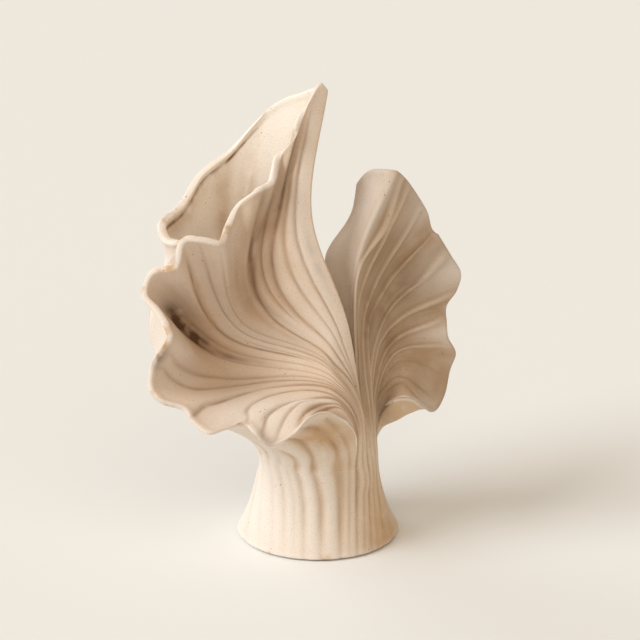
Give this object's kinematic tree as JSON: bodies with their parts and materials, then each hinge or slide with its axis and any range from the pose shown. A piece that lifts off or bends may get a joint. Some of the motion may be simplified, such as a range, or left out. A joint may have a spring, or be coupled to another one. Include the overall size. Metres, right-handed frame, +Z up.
{
  "type": "sculptural vase",
  "caption": "Unglazed stoneware vase: a ribbed horn with a slanted mouth and a ribbed leaf unfurl from a fluted, flared foot, with ruffled lips.",
  "frame": {"origin": "on the table, under the middle of the foot, at the underside of the felt pad", "axes": "+Z up, -Y towards the ribbed front, +X towards the leaf"},
  "size_m": [0.2134, 0.1236, 0.3119],
  "materials": {
    "stoneware": "unglazed, matte, toasted in the grooves, fine dark specks",
    "felt": "matte felt"
  },
  "bodies": {
    "root": {"felt_pad": "felt", "base_disc": "stoneware", "pedestal": "stoneware", "horn_front": "stoneware", "horn_back": "stoneware", "leaf_front": "stoneware", "leaf_back": "stoneware"}
  },
  "joints": []
}
